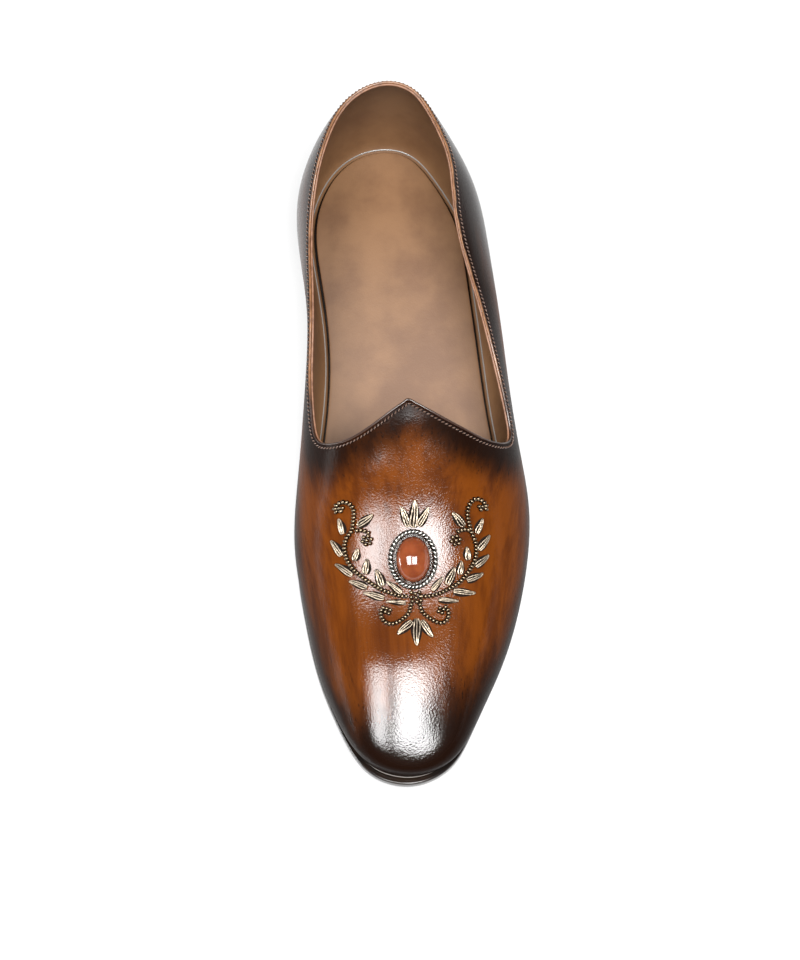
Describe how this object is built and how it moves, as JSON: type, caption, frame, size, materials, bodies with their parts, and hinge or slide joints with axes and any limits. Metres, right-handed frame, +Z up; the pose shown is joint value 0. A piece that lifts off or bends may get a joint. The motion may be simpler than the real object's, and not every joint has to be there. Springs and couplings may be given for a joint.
{
  "type": "slip-on shoe",
  "caption": "Low leather slip-on shoe for the left foot, cut from one piece, with a bead and wire ornament round an oval stone.",
  "frame": {"origin": "middle of the heel's tread, on the ground", "axes": "toe towards -Y, back of the heel towards +Y, outer side of the foot towards +X, +Z up"},
  "size_m": [0.101, 0.302, 0.0895],
  "materials": {
    "upper_leather": "burnished calf, waxed and polished, darker at the toe and edges",
    "lining_leather": "smooth tan lining, matt",
    "sole_leather": "dark dyed and polished edge",
    "heel_rubber": "moulded, matt",
    "carnelian": "polished cabochon",
    "old_silver": "blackened silver, worn bright on the high spots",
    "bronze_beads": "dark bronze lustre",
    "pale_wire": "coiled wire, pale gold to silver, darkened between the strands"
  },
  "bodies": {
    "root": {"top_piece": "heel_rubber", "heel_stack": "sole_leather", "outsole": "sole_leather", "insole": "lining_leather", "upper": "upper_leather", "bezel": "old_silver", "stone": "carnelian", "bead_vine_inner": "bronze_beads", "bead_scroll_inner": "bronze_beads", "bead_vine_outer": "bronze_beads", "bead_scroll_outer": "bronze_beads", "leaf_crown_1": "pale_wire", "leaf_crown_2": "pale_wire", "leaf_crown_3": "pale_wire", "leaf_base_1": "pale_wire", "leaf_base_2": "pale_wire", "leaf_base_3": "pale_wire", "leaf_inner_1": "pale_wire", "leaf_inner_2": "pale_wire", "leaf_inner_3": "pale_wire", "leaf_inner_4": "pale_wire", "leaf_inner_5": "pale_wire", "leaf_inner_6": "pale_wire", "leaf_inner_7": "pale_wire", "leaf_inner_8": "pale_wire", "leaf_inner_9": "pale_wire", "leaf_inner_10": "pale_wire", "leaf_inner_11": "pale_wire", "leaf_outer_1": "pale_wire", "leaf_outer_2": "pale_wire", "leaf_outer_3": "pale_wire", "leaf_outer_4": "pale_wire", "leaf_outer_5": "pale_wire", "leaf_outer_6": "pale_wire", "leaf_outer_7": "pale_wire", "leaf_outer_8": "pale_wire", "leaf_outer_9": "pale_wire", "leaf_outer_10": "pale_wire", "leaf_outer_11": "pale_wire"}
  },
  "joints": []
}
